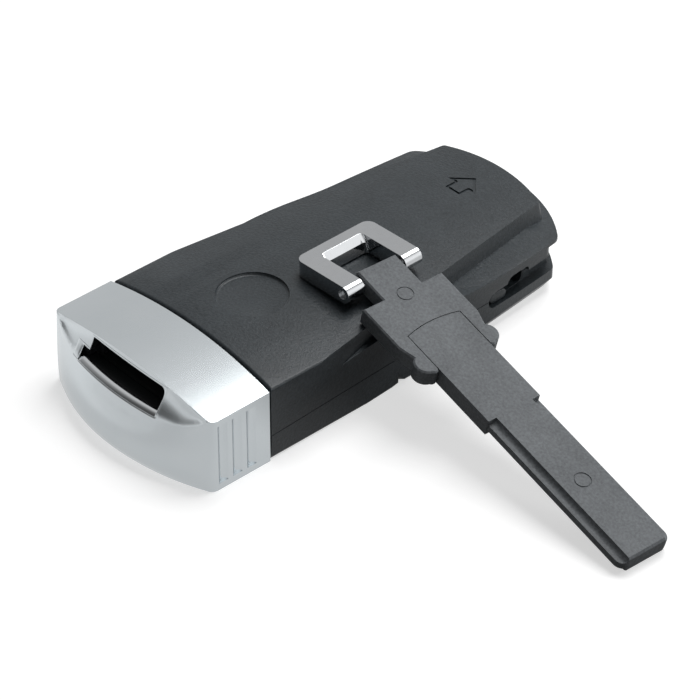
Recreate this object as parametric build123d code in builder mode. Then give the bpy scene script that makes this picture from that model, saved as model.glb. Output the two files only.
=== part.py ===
import os
from math import asin, atan2, cos, hypot, radians, sin, tan

from build123d import *

os.makedirs("parts", exist_ok=True)

# A car's smart key fob with its emergency key pulled out and leaning on it.
# The fob lies on its button face, with its back face up. X runs across the fob, +Y towards
# the end that goes into the dashboard, and +Z up. The origin is in the middle of the underside.

# Fob
fob_width = 38.0            # across the end cap
front_y = -37.0             # top front edge of the end cap
edge_height = 13.4          # back face above the table, at its long edges
crown_rise = 1.5            # and this much higher along the middle
crown_top_y = 25.0          # the back face is highest at this distance from the front edge
crown_drop = 0.55           # and this much lower at the far end of the raised face
wall = 1.3                  # floor and side walls of the shells and of the cap
over = 5.0                  # forms that only cut run at least this far past the part

# End cap
cap_length = 11.3           # from its top front edge to its joint with the shells, at the sides
joint_bow = 0.8             # the joint bows towards the far end
joint_gap = 0.5             # dark line between the cap and the shells
chin_bow = 5.6              # how far the front stands out at the middle, at its fullest
chin_bow_z = 2.0            # height of its fullest place
chin_bow_foot = 4.4         # how far it stands out at the table
chin_bow_middle = 4.95      # between its fullest place and the lip
chin_middle_z = 6.5
chin_bow_lip = 2.8          # at the lip of the slot
lip_rise = 0.8              # outer edge of the lip over the slot's floor
chin_bow_top = 1.2          # at the top of the blank that the cap is cut from
chin_corner = 1.4           # rounding of the upright front corners
facet_lean = 0.70           # the facet over the lip comes forward by this for each mm down
rib_spacing = 2.8           # grip grooves on the sides
rib_start = 2.0
rib_count = 3
rib_depth = 0.45
rib_radius = 1.2
rib_from_z = 1.2
rib_to_z = 12.2
cap_hollow_half = 17.6      # its hollow, across

# Slot for the emergency key
slot_width = 17.4
slot_floor = 9.90
slot_height = 4.15
catch_notch = 2.95          # the slot's left end is this much longer for the catch

# Black shells
shell_inset = 0.25          # each side stands this far inside the cap
flank_start = 47.0          # where the sides begin to curve in, from the front edge
flank_mid = (18.35, 20.5)   # half width, and distance back from the tip of the far end
shell_corner = (17.2, 6.6)  # where the sides meet the far end, in the same way
shell_corner_radius = 2.4
end_margin = 11.5           # from the lamp to the tip of the far end
top_edge_radius = 0.5
foot_start = (18.45, 32.0)  # half width of the underside, and distance from the front edge
foot_mid = (17.05, 52.5)
foot_corner = (15.0, 7.5)   # here the distance is back from the tip of the far end
foot_lean = 35.0            # degrees; from the underside the flanks lean out by this
end_rise_radius = 3.2       # underside of the far end curves up
parting_front = 4.5         # height of the line between the two shells, at the cap
parting_back = 6.1
parting_level_from = 44.0
parting_gap = 0.12

# Raised back face and the ledges beside it
plateau_start = 21.5        # distance where its sides begin to run in
plateau_corner = (11.4, 5.1) # half width, and distance back from the tip of the far end
plateau_end = 3.0           # its far edge ends this far short of that tip
plateau_corner_radius = 0.8
plateau_lean = 12.6         # degrees; its sides lean out by this towards the ledges
ledge_outer_z = 10.45
ledge_outer_x = 18.0
ledge_slope = 0.15
ledge_rise = (              # height of the ledge's outer edge where it begins
    (21.5, 9.8),
    (27.0, 10.7),
    (33.0, 11.45),
    (40.0, 11.8),
    (46.0, 11.5),
    (52.0, 10.85),
    (59.0, 10.45),
)
rim_under_z = 9.95          # underside of the ledge's overhanging rim
band_inset = 0.5            # wall under the rim
band_end_inset = 1.2        # and further at the far end, above the grooves' lower edge
band_start = 36.0
band_slant = 0.52           # its start runs back by this for each mm down
emblem_radius = 5.85        # bare round recess
emblem_y = 24.3
emblem_depth = 0.6
emblem_round = 0.45         # rounding where its wall meets its floor
arrow_back = 11.9           # its middle, back from the tip of the far end
arrow_size = 6.5
arrow_line = 0.45
arrow_depth = 0.25

# Groove along each side of the far end
groove_back = 23.0          # it starts this far back from the tip of the far end
groove_height = 2.8
groove_z = 5.75
groove_floor_x = 16.5       # half width of the groove's floor where it starts
groove_lip = 0.6            # shallow step before it and over it
groove_lip_depth = 0.25
groove_toe_in = 0.10        # it follows the side as this narrows
pocket_back = 13.0          # deep pocket in its floor and over it, back from the tip
pocket_length = 5.3
pocket_rise = 1.3           # it reaches this much higher than the groove
pocket_depth = 2.2
pocket_corner = 1.2

# Hollow of the shells
hollow_front = 1.6          # front wall of the shells, from the joint
hollow_half = 16.9
hollow_neck_back = 26.0     # from here to the tip the grooves narrow the hollow
hollow_neck_run = 1.5
hollow_neck_half = 12.3
hollow_taper_back = 9.5
hollow_end_back = 5.3
hollow_end_half = 9.0
upper_hollow_floor = 9.2
upper_hollow_top = 12.3
upper_front_end = 25.0
upper_mid = (15.0, 29.5)
upper_end = (10.4, 7.5)     # half width, and distance back from the tip of the far end
hook_x = 14.25              # hooks of the back cover that hold the cap
hook_width = 4.5
hook_z = 10.6
hook_reach = 3.0
tongue_reach = 5.0          # tongue of the front cover, inside the cap
tongue_thick = 1.5

# Guide tray of the emergency key
sleeve_floor = 0.9
sleeve_wall = 1.0
sleeve_wide_to = 25.0
sleeve_narrow_half = 5.95
sleeve_spare = 3.0          # beyond the tip of the key when it is in
sleeve_front = 1.0
shelf_to = 8.3              # shelf that carries the catch
fit = 0.1                   # clearance between fixed pieces inside

# Circuit board and what is on it
board_under = 4.3
board_thick = 1.0
board_clear = 0.7           # to the hollow's walls
front_post = (14.0, 18.0)
back_post = (9.5, 11.0)     # half width, and distance back from the tip of the far end
post_radius = 1.4
peg_radius = 0.7

# Components on the board
chip_x = 8.0                # each stands this far from the middle line
chip_height = 1.0
chip_edge = 0.1
processor_size = 7.0
processor_y = 29.0
radio_size = 5.0
radio_y = 31.0
crystal_length = 3.2
crystal_width = 2.5
crystal_height = 0.8
crystal_corner = 0.3
crystal_y = 38.0
coil_size = 11.0
coil_height = 2.8
coil_flange = 0.6
coil_corner = 1.0
coil_y = 43.0

# Buttons
button_pitch = 15.0
button_first = 29.5         # centre of the button next to the cap, from the front edge
button_length = 12.4
button_width = 18.0
button_gap = 0.15
button_recess = 0.15
button_corner = 2.5
button_edge = 0.2
button_flange = 0.8
button_flange_thick = 0.6
mat_under = 2.6
mat_thick = 0.4
mat_half = 11.8
mat_rail = 1.0
dome_height = 0.15
dome_radius = 2.0
switch_size = 4.5
switch_body = 0.9
plunger_radius = 1.0
plunger_height = 0.15

# Lamp
lamp_gap = 4.3              # from the last button
pipe_radius = 1.0
pipe_head = 1.5
lamp_length = 2.0
lamp_width = 1.2
lamp_height = 0.8

# Coin cell
cell_radius = 10.0
cell_thick = 3.2
cell_back = 18.9            # its middle, back from the tip of the far end
cell_lift = 0.2
cell_step = 0.4             # its narrower lower side is this high
cell_rim = 1.0
contact_thick = 0.15
contact_radius = 6.0
contact_slots = 5
contact_slot_radius = 4.2
contact_slot_length = 2.0
contact_slot_width = 1.0
clip_thick = 0.2
clip_width = 6.0
clip_gap = 0.7
clip_bend = 0.15

# Release catch
catch_from = 1.3
catch_to = 7.4
catch_body = 3.35
catch_nose = 1.2            # how far it stands into the slot
catch_nose_from = 3.9
catch_nose_to = 6.1
catch_under = 10.0
catch_height = 1.95
catch_tab = 1.9             # reaches forward through the notch
catch_tab_width = 0.9
spring_radius = 0.75
spring_wire = 0.13
spring_turns = 5

# Emergency key, along its own length from its pin
key_thick = 3.1
key_length = 64.0
key_yaw = 3.6               # it points this far off square with the fob
pin_x = 11.4
pin_y = 40.7
pin_z = 16.8
neck_width = 7.7
neck_back = 1.25
neck_length = 5.5
shoulder_width = 15.8
shoulder_to = 14.6
waist_width = 14.2
waist_to = 17.3
lobe_width = 16.0
lobe_to = 21.3
lobe_side = 1.6             # the lobe's side curves in by this before its end
lobe_end_rise = 0.3         # and its end is this much rounded
root_width = 10.3
root_from = 13.4
root_arch = 0.7
root_groove = 0.12          # fine gap around the blade where it enters the holder
step_at = 33.0
blade_width = 10.0
rib_top_width = 7.2
blade_base = 1.2            # thickness at its two edges
tip_corner = 1.6
tip_edge = 0.35
tip_zone = 2.4              # edges wholly within this of the end are chamfered
key_edge = 0.25
mark_radius = 1.4
mark_line = 0.16
mark_depth = 0.15
mark_places = (6.2, 49.0)

# Bail
bail_thick = 3.0
bail_width = 15.8
bail_arm = 3.5
bail_length = 10.9          # pin to the outside of the cross bar
bail_bar = 2.05
bail_corner = 1.6
bail_inner_corner = 0.7
bail_lift = 0.1             # over the crown, under its cross bar
pin_radius = 0.8
pin_clear = 0.04
neck_bore = 1.2             # loose on the pin
bail_yaw = -0.8             # the bail lies this far off square, within that play
pin_recess = 0.5


def along(distance):
    """Y of a place given by its distance from the top front edge of the end cap."""
    return front_y + distance


def crown_z(x):
    """Height of the back face at a distance x from its middle line, where it is highest."""
    return edge_height + crown_rise * (1 - (2 * x / fob_width) ** 2)


def drop(distance):
    """How much lower the back face is at a distance from the front edge."""
    return crown_drop * ((distance - crown_top_y) / (plateau_tip - crown_top_y)) ** 2


# Values worked out from the ones above
lamp_y = button_first + 2 * button_pitch + button_length / 2 + lamp_gap
shell_length = lamp_y + end_margin
plateau_tip = shell_length - plateau_end
arrow_y = shell_length - arrow_back
cell_y = shell_length - cell_back
half_width = fob_width / 2
joint_y = along(cap_length)
shell_half = half_width - shell_inset
shell_front = joint_y + joint_gap
blank_height = edge_height + crown_rise + over / 2
crown_reach = half_width + over
far = along(shell_length) + 2 * over
slot_half = slot_width / 2
sleeve_half = slot_half + sleeve_wall
board_top = board_under + board_thick
cell_under = board_top + cell_lift
sleeve_under = slot_floor - sleeve_floor
sleeve_end = catch_nose_to - waist_to + key_length + sleeve_spare
catch_y = along((catch_nose_from + catch_nose_to) / 2)
catch_z = catch_under + catch_height / 2
key_reach = hypot(key_length, key_thick / 2)
key_pitch = asin(pin_z / key_reach) - atan2(key_thick / 2, key_length)
yaw = radians(key_yaw)

key_plane = Plane(
    origin=(pin_x, along(pin_y), pin_z),
    x_dir=(cos(key_pitch) * cos(yaw), -cos(key_pitch) * sin(yaw), -sin(key_pitch)),
    z_dir=(sin(key_pitch) * cos(yaw), -sin(key_pitch) * sin(yaw), cos(key_pitch)),
)
key_top = key_plane.offset(key_thick / 2)

# Everything under the crowned back face, which also curves down a little along the fob
with BuildPart() as under_crown:
    with BuildLine(Plane.YZ) as crown_path:
        ThreePointArc(
            (along(-3 * over), -drop(-3 * over)),
            (along(crown_top_y), 0),
            (far, -drop(shell_length + 2 * over)),
        )
    with BuildSketch(
        Plane(origin=crown_path.line @ 0, x_dir=(-1, 0, 0), z_dir=crown_path.line % 0)
    ):
        with BuildLine():
            Polyline(
                (-crown_reach, crown_z(crown_reach)),
                (-crown_reach, -over),
                (crown_reach, -over),
                (crown_reach, crown_z(crown_reach)),
            )
            ThreePointArc(
                (-crown_reach, crown_z(crown_reach)),
                (0, crown_z(0)),
                (crown_reach, crown_z(crown_reach)),
            )
        make_face()
    sweep()

# Outline of the two black shells together, with the axis that its far arc is struck from
corner_y = along(shell_length - shell_corner[1])
end_arc_radius = (shell_corner[0] ** 2 + shell_corner[1] ** 2) / (2 * shell_corner[1])
end_centre_y = along(shell_length) - end_arc_radius
end_axis = Axis((0, end_centre_y, 0), (0, 0, 1))
with BuildSketch() as shell_outline:
    with BuildLine():
        ThreePointArc((-shell_half, shell_front), (0, shell_front + joint_bow), (shell_half, shell_front))
        for side in (-1, 1):
            Line((side * shell_half, shell_front), (side * shell_half, along(flank_start)))
            ThreePointArc(
                (side * shell_half, along(flank_start)),
                (side * flank_mid[0], along(shell_length - flank_mid[1])),
                (side * shell_corner[0], corner_y),
            )
        ThreePointArc(
            (-shell_corner[0], corner_y),
            (0, along(shell_length)),
            (shell_corner[0], corner_y),
        )
    make_face()
    corners = shell_outline.vertices().filter_by(
        lambda v: abs(v.Y - corner_y) < 0.01
    )
    fillet(corners, shell_corner_radius)

# Underside, narrower than the shells; from it the flanks lean out to their full width
foot_corner_y = along(shell_length - foot_corner[1])
foot_far_y = end_centre_y + end_arc_radius
with BuildPart() as foot_form:
    with BuildSketch():
        with BuildLine():
            Polyline(
                (-foot_start[0], along(foot_start[1])),
                (-foot_start[0], front_y),
                (foot_start[0], front_y),
                (foot_start[0], along(foot_start[1])),
            )
            for side in (-1, 1):
                ThreePointArc(
                    (side * foot_start[0], along(foot_start[1])),
                    (side * foot_mid[0], along(foot_mid[1])),
                    (side * foot_corner[0], foot_corner_y),
                )
            ThreePointArc((-foot_corner[0], foot_corner_y), (0, foot_far_y), (foot_corner[0], foot_corner_y))
        make_face()
    extrude(amount=blank_height, taper=-foot_lean)

# Outline of the raised back face
plateau_corner_y = along(shell_length - plateau_corner[1])
with BuildSketch() as plateau_outline:
    with BuildLine():
        Polyline(
            (-plateau_corner[0], plateau_corner_y),
            (-shell_half, along(plateau_start)),
            (-shell_half, front_y),
            (shell_half, front_y),
            (shell_half, along(plateau_start)),
            (plateau_corner[0], plateau_corner_y),
        )
        ThreePointArc(
            (-plateau_corner[0], plateau_corner_y),
            (0, along(plateau_tip)),
            (plateau_corner[0], plateau_corner_y),
        )
    make_face()
    corners = plateau_outline.vertices().filter_by(
        lambda v: abs(v.Y - plateau_corner_y) < 0.01
    )
    fillet(corners, plateau_corner_radius)

# The raised face's own block, whose sides lean out; its outline is true at the long edges' height
plateau_foot_z = groove_z
with BuildPart() as plateau_form:
    with BuildSketch(Plane.XY.offset(plateau_foot_z)):
        add(plateau_outline.sketch)
        offset(amount=(edge_height - plateau_foot_z) * tan(radians(plateau_lean)), kind=Kind.INTERSECTION)
    extrude(amount=blank_height - plateau_foot_z, taper=plateau_lean)

# Above the slopes of the ledges: one slopes to each side, and one all round the far end's arc
with BuildPart() as above_slopes:
    with BuildSketch(Plane.XZ.offset(-far)):
        with BuildLine():
            ledge_inner_z = ledge_outer_z + ledge_slope * ledge_outer_x
            ledge_far_z = ledge_outer_z - ledge_slope * (crown_reach - ledge_outer_x)
            Polyline(
                (0, ledge_inner_z),
                (crown_reach, ledge_far_z),
                (crown_reach, blank_height + over),
                (-crown_reach, blank_height + over),
                (-crown_reach, ledge_far_z),
                (0, ledge_inner_z),
            )
        make_face()
    extrude(amount=far - along(0))
    with BuildSketch(Plane.YZ):
        Polygon(
            (end_centre_y, ledge_outer_z + ledge_slope * end_arc_radius),
            (far, ledge_outer_z - ledge_slope * 2 * over),
            (far, blank_height + over),
            (end_centre_y, blank_height + over),
            align=None,
        )
    revolve(axis=end_axis, revolution_arc=360)

# What is cut away beside and beyond the raised face, down to the ledges
with BuildPart() as ledge_cut:
    with BuildSketch(Plane.XY.offset(upper_hollow_floor)):
        with Locations((0, (along(plateau_start) + far) / 2)):
            Rectangle(2 * crown_reach, far - along(plateau_start))
    extrude(amount=blank_height)
    add(plateau_form.part, mode=Mode.SUBTRACT)
    with BuildSketch(Plane.YZ.offset(-crown_reach)):
        with BuildLine():
            rise = Spline(*[(along(y), z) for y, z in ledge_rise], tangents=((1, 0.2), (1, 0)))
            Polyline(
                rise @ 1,
                (far, ledge_rise[-1][1]),
                (far, blank_height + over),
                (along(ledge_rise[0][0]), blank_height + over),
                rise @ 0,
            )
        make_face()
    extrude(amount=2 * crown_reach, mode=Mode.INTERSECT)
    add(above_slopes.part, mode=Mode.INTERSECT)

# Wall set back under the rim of each ledge, and more so at the far end above the grooves' lower edge
flange_y = along(shell_length - groove_back) + groove_height
with BuildPart() as band_cut:
    with BuildSketch(Plane.YZ.offset(-crown_reach)):
        Polygon(
            (along(band_start), rim_under_z),
            (along(band_start) + band_slant * (rim_under_z + over), -over),
            (far, -over),
            (far, rim_under_z),
            align=None,
        )
    extrude(amount=2 * crown_reach)
    with BuildSketch(Plane.XY.offset(-over)):
        add(shell_outline.sketch)
        offset(amount=-band_inset)
    extrude(amount=over + groove_z - groove_height / 2, mode=Mode.SUBTRACT)
    with BuildSketch(Plane.XY.offset(-over)):
        add(shell_outline.sketch)
        offset(amount=-band_inset)
        with Locations((0, (front_y + flange_y) / 2)):
            Rectangle(2 * crown_reach, flange_y - front_y, mode=Mode.INTERSECT)
    extrude(amount=blank_height + 2 * over, mode=Mode.SUBTRACT)
    with BuildSketch(Plane.XY.offset(-over)):
        with Locations((0, -band_end_inset)):
            add(shell_outline.sketch)
        offset(amount=-band_inset)
    extrude(amount=blank_height + 2 * over, mode=Mode.SUBTRACT)

# Groove and its deep pocket on the right, then on the left
groove_plane = Plane(
    origin=(groove_floor_x, along(shell_length - groove_back), groove_z),
    x_dir=(-groove_toe_in, 1, 0),
    z_dir=(1, groove_toe_in, 0),
)
groove_run = groove_back + over
pocket_middle = groove_back - pocket_back - pocket_length / 2
with BuildPart() as groove_cut:
    with BuildSketch(groove_plane):
        with Locations((groove_run / 2, 0)):
            SlotOverall(groove_run, groove_height)
    extrude(amount=over)
    with BuildSketch(groove_plane):
        with Locations((pocket_middle, pocket_rise / 2)):
            RectangleRounded(pocket_length, groove_height + pocket_rise - 2 * fit, pocket_corner)
    extrude(amount=pocket_depth, both=True)
    with BuildSketch(groove_plane.offset(shell_half - band_inset - groove_lip_depth - groove_floor_x)):
        with Locations((groove_run / 2 - groove_lip, groove_lip / 2)):
            SlotOverall(groove_run, groove_height + groove_lip)
    extrude(amount=over)
    mirror(about=Plane.YZ)

# Outer form of the two shells together
with BuildPart() as shell_form:
    add(shell_outline.sketch)
    extrude(amount=blank_height)
    add(foot_form.part, mode=Mode.INTERSECT)
    add(under_crown.part, mode=Mode.INTERSECT)
    fillet(shell_form.faces().sort_by(Axis.Z)[-1].edges(), top_edge_radius)
    add(ledge_cut.part, mode=Mode.SUBTRACT)
    add(band_cut.part, mode=Mode.SUBTRACT)
    add(groove_cut.part, mode=Mode.SUBTRACT)
    with BuildSketch(Plane.YZ):
        with Locations((along(shell_length) - end_rise_radius / 2, end_rise_radius / 2)):
            Rectangle(end_rise_radius, end_rise_radius)
        with Locations((along(shell_length) - end_rise_radius, end_rise_radius)):
            Circle(end_rise_radius, mode=Mode.SUBTRACT)
    revolve(axis=end_axis, revolution_arc=360, mode=Mode.SUBTRACT)

# Room above the line between the two shells, and below it
with BuildPart() as above_parting:
    with BuildSketch(Plane.YZ.offset(-crown_reach)):
        Polygon(
            (front_y, parting_front),
            (joint_y, parting_front),
            (along(parting_level_from), parting_back),
            (far, parting_back),
            (far, blank_height + over),
            (front_y, blank_height + over),
            align=None,
        )
    extrude(amount=2 * crown_reach)

with BuildPart() as below_parting:
    with BuildSketch(Plane.YZ.offset(-crown_reach)):
        Polygon(
            (front_y, parting_front - parting_gap),
            (joint_y, parting_front - parting_gap),
            (along(parting_level_from), parting_back - parting_gap),
            (far, parting_back - parting_gap),
            (far, -over),
            (front_y, -over),
            align=None,
        )
    extrude(amount=2 * crown_reach)

# Hollow shared by the two shells: a wide part at the board, a narrower one under the raised face
hollow_y = shell_front + joint_bow + hollow_front
neck_y = along(shell_length - hollow_neck_back)
taper_y = along(shell_length - hollow_taper_back)
hollow_end_y = along(shell_length - hollow_end_back)
upper_end_y = along(shell_length - upper_end[1])
with BuildSketch() as board_room:
    Polygon(
        (-hollow_half, hollow_y),
        (hollow_half, hollow_y),
        (hollow_half, neck_y),
        (hollow_neck_half, neck_y + hollow_neck_run),
        (hollow_neck_half, taper_y),
        (hollow_end_half, hollow_end_y),
        (-hollow_end_half, hollow_end_y),
        (-hollow_neck_half, taper_y),
        (-hollow_neck_half, neck_y + hollow_neck_run),
        (-hollow_half, neck_y),
        align=None,
    )

with BuildPart() as shell_hollow:
    with BuildSketch(Plane.XY.offset(wall)):
        add(board_room.sketch)
    extrude(amount=upper_hollow_floor - wall)
    with BuildSketch(Plane.XY.offset(upper_hollow_floor)):
        Polygon(
            (-hollow_half, hollow_y),
            (hollow_half, hollow_y),
            (hollow_half, along(upper_front_end)),
            (upper_mid[0], along(upper_mid[1])),
            (upper_end[0], upper_end_y),
            (-upper_end[0], upper_end_y),
            (-upper_mid[0], along(upper_mid[1])),
            (-hollow_half, along(upper_front_end)),
            align=None,
        )
    extrude(amount=upper_hollow_top - upper_hollow_floor)

# Path of the emergency key through the cap and the back cover
with BuildPart() as key_path:
    with BuildSketch(Plane.XY.offset(slot_floor)):
        with Locations((0, (along(-2 * over) + along(sleeve_wide_to)) / 2)):
            Rectangle(slot_width, sleeve_wide_to + 2 * over)
        with Locations((0, (along(sleeve_wide_to) + along(sleeve_end)) / 2)):
            Rectangle(2 * sleeve_narrow_half, sleeve_end - sleeve_wide_to)
    extrude(amount=slot_height)

# Round recess in the back face
with BuildPart() as emblem_cut:
    with Locations((0, along(emblem_y), crown_z(0) - emblem_depth)):
        Cylinder(emblem_radius, crown_rise, align=(Align.CENTER, Align.CENTER, Align.MIN))
    fillet(emblem_cut.edges().sort_by(Axis.Z)[0], emblem_round)

# Upper black shell
with BuildPart() as back_cover:
    add(shell_form.part)
    add(above_parting.part, mode=Mode.INTERSECT)
    add(shell_hollow.part, mode=Mode.SUBTRACT)
    add(key_path.part, mode=Mode.SUBTRACT)
    # opening in its front wall for the guide tray
    tray_mouth = hollow_y - shell_front + over
    with Locations((0, hollow_y, sleeve_under - fit)):
        Box(
            2 * (sleeve_half + fit),
            2 * tray_mouth,
            upper_hollow_top - sleeve_under + fit,
            align=(Align.CENTER, Align.CENTER, Align.MIN),
            mode=Mode.SUBTRACT,
        )
    # two hooks that hold the cap
    for side in (-1, 1):
        with Locations((side * hook_x, shell_front - hook_reach, hook_z)):
            Box(
                hook_width,
                hook_reach + joint_bow + hollow_front,
                upper_hollow_top - fit - hook_z,
                align=(Align.CENTER, Align.MIN, Align.MIN),
            )
    # bare round recess
    add(emblem_cut.part, mode=Mode.SUBTRACT)
    # arrow outline that shows which end goes into the dashboard
    with BuildSketch(Plane.XY.offset(crown_z(0) - drop(arrow_y) - arrow_depth)):
        Polygon(
            (0, along(arrow_y) + arrow_size / 2),
            (arrow_size / 2, along(arrow_y)),
            (arrow_size / 4, along(arrow_y)),
            (arrow_size / 4, along(arrow_y) - arrow_size / 3),
            (-arrow_size / 4, along(arrow_y) - arrow_size / 3),
            (-arrow_size / 4, along(arrow_y)),
            (-arrow_size / 2, along(arrow_y)),
            align=None,
        )
        offset(amount=-arrow_line, mode=Mode.SUBTRACT)
    extrude(amount=crown_rise, mode=Mode.SUBTRACT)
back_cover.part.label = "back_cover"
export_step(back_cover.part, "parts/back_cover.step")

# Lower black shell, whose outside is the button face
button_ys = [along(button_first + i * button_pitch) for i in range(3)]
mat_y = button_ys[1]
mat_length = 2 * button_pitch + button_length + 2 * button_flange
front_posts = [(side * front_post[0], along(front_post[1])) for side in (-1, 1)]
back_posts = [(side * back_post[0], along(shell_length - back_post[1])) for side in (-1, 1)]
with BuildPart() as front_cover:
    add(shell_form.part)
    add(below_parting.part, mode=Mode.INTERSECT)
    add(shell_hollow.part, mode=Mode.SUBTRACT)
    # windows of the buttons
    with BuildSketch():
        for y in button_ys:
            with Locations((0, y)):
                RectangleRounded(
                    button_width + 2 * button_gap, button_length + 2 * button_gap, button_corner + button_gap
                )
    extrude(amount=wall, mode=Mode.SUBTRACT)
    # hole of the light pipe
    with Locations((0, along(lamp_y), 0)):
        Cylinder(
            pipe_radius + fit / 2, wall, align=(Align.CENTER, Align.CENTER, Align.MIN), mode=Mode.SUBTRACT
        )
    # posts under the board, two of them with pegs through it
    with BuildSketch(Plane.XY.offset(wall)):
        with Locations(*front_posts, *back_posts):
            Circle(post_radius)
    extrude(amount=board_under - wall)
    with BuildSketch(Plane.XY.offset(board_under)):
        with Locations(*front_posts):
            Circle(peg_radius)
    extrude(amount=board_thick)
    # rails that carry the mat
    with BuildSketch(Plane.XY.offset(wall)):
        with Locations((mat_half - mat_rail / 2, mat_y), (mat_rail / 2 - mat_half, mat_y)):
            Rectangle(mat_rail, mat_length)
    extrude(amount=mat_under - wall)
    # tongue that plugs into the cap
    with Locations((0, shell_front - tongue_reach, wall + fit)):
        Box(
            2 * (shell_half - wall),
            tongue_reach + joint_bow + hollow_front,
            tongue_thick,
            align=(Align.CENTER, Align.MIN, Align.MIN),
        )
front_cover.part.label = "front_cover"
export_step(front_cover.part, "parts/front_cover.step")

# Silver end cap
chin_sections = [
    (0, chin_bow_foot),
    (chin_bow_z, chin_bow),
    (chin_middle_z, chin_bow_middle),
    (slot_floor + lip_rise, chin_bow_lip),
    (blank_height, chin_bow_top),
]
with BuildPart() as end_cap:
    for z, bow in chin_sections:
        with BuildSketch(Plane.XY.offset(z)):
            with BuildLine():
                Polyline(
                    (-half_width, front_y),
                    (-half_width, joint_y + over),
                    (half_width, joint_y + over),
                    (half_width, front_y),
                )
                ThreePointArc((-half_width, front_y), (0, front_y - bow), (half_width, front_y))
            make_face()
    loft()
    upright = end_cap.edges().filter_by(
        lambda e: abs(e.center().Y - front_y) < 0.01 and abs(e.center().Z - blank_height / 2) < 1
    )
    fillet(upright, chin_corner)
    add(under_crown.part, mode=Mode.INTERSECT)
    # facet over the lip: the crowned top edge carried forward and down, cut from over the cap
    with BuildSketch(Plane.XZ.offset(-front_y - facet_lean * over)):
        with BuildLine():
            edge_z = crown_z(crown_reach) - drop(0) + over
            Polyline(
                (-crown_reach, edge_z),
                (-crown_reach, blank_height + 3 * over),
                (crown_reach, blank_height + 3 * over),
                (crown_reach, edge_z),
            )
            ThreePointArc(
                (-crown_reach, edge_z), (0, crown_z(0) - drop(0) + over), (crown_reach, edge_z)
            )
        make_face()
    extrude(amount=blank_height + 2 * over, dir=(0, -facet_lean, -1), mode=Mode.SUBTRACT)
    # bowed joint with the shells
    with BuildSketch():
        with BuildLine():
            ThreePointArc((-half_width, joint_y), (0, joint_y + joint_bow), (half_width, joint_y))
            Polyline(
                (half_width, joint_y),
                (crown_reach, joint_y),
                (crown_reach, joint_y + 2 * over),
                (-crown_reach, joint_y + 2 * over),
                (-crown_reach, joint_y),
                (-half_width, joint_y),
            )
        make_face()
    extrude(amount=blank_height, mode=Mode.SUBTRACT)
    # hollow inside, under the key's path and beside it
    with BuildSketch(Plane.XY.offset(wall)):
        with BuildLine():
            Polyline(
                (-cap_hollow_half, along(wall)),
                (-cap_hollow_half, joint_y + 2 * over),
                (cap_hollow_half, joint_y + 2 * over),
                (cap_hollow_half, along(wall)),
            )
            ThreePointArc(
                (-cap_hollow_half, along(wall)),
                (0, along(2 * wall - chin_bow_foot)),
                (cap_hollow_half, along(wall)),
            )
        make_face()
    extrude(amount=sleeve_under - fit - wall, mode=Mode.SUBTRACT)
    with Locations((0, along(sleeve_front - fit), sleeve_under - fit)):
        Box(
            2 * cap_hollow_half,
            cap_length + over,
            upper_hollow_top - sleeve_under + fit,
            align=(Align.CENTER, Align.MIN, Align.MIN),
            mode=Mode.SUBTRACT,
        )
    add(key_path.part, mode=Mode.SUBTRACT)
    # notch at the slot's left end, for the catch
    with Locations((-slot_half - catch_notch, along(-2 * over), catch_under - fit)):
        Box(
            catch_notch + fit,
            2 * over + sleeve_front,
            catch_height + 2 * fit,
            align=(Align.MIN, Align.MIN, Align.MIN),
            mode=Mode.SUBTRACT,
        )
    # grip grooves on both sides
    with BuildSketch(Plane.XY.offset(rib_from_z)):
        for side in (-1, 1):
            for i in range(rib_count):
                y = along(rib_start + i * rib_spacing)
                with Locations((side * (half_width + rib_radius - rib_depth), y)):
                    Circle(rib_radius)
    extrude(amount=rib_to_z - rib_from_z, mode=Mode.SUBTRACT)
end_cap.part.label = "end_cap"
export_step(end_cap.part, "parts/end_cap.step")

# Tray that guides the emergency key, with a shelf for the catch
with BuildPart() as key_sleeve:
    with BuildSketch(Plane.XY.offset(sleeve_under)):
        with Locations((0, along((sleeve_front + sleeve_wide_to + sleeve_wall) / 2))):
            Rectangle(2 * sleeve_half, sleeve_wide_to + sleeve_wall - sleeve_front)
        with Locations((0, along((sleeve_wide_to + sleeve_end + sleeve_wall) / 2))):
            Rectangle(2 * (sleeve_narrow_half + sleeve_wall), sleeve_end + sleeve_wall - sleeve_wide_to)
    extrude(amount=upper_hollow_top - fit - sleeve_under)
    add(key_path.part, mode=Mode.SUBTRACT)
    with Locations((-cap_hollow_half + fit, along(sleeve_front), sleeve_under)):
        Box(
            cap_hollow_half - fit,
            shelf_to - sleeve_front,
            sleeve_floor,
            align=(Align.MIN, Align.MIN, Align.MIN),
        )
    # windows for the nose and the tab of the catch
    for start, end in ((catch_nose_from, catch_nose_to), (sleeve_front, catch_from)):
        with Locations((-sleeve_half - fit, along(start) - 2 * fit, catch_under - fit)):
            Box(
                sleeve_wall + 2 * fit,
                end - start + 4 * fit,
                slot_height,
                align=(Align.MIN, Align.MIN, Align.MIN),
                mode=Mode.SUBTRACT,
            )
key_sleeve.part.label = "key_sleeve"
export_step(key_sleeve.part, "parts/key_sleeve.step")

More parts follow.
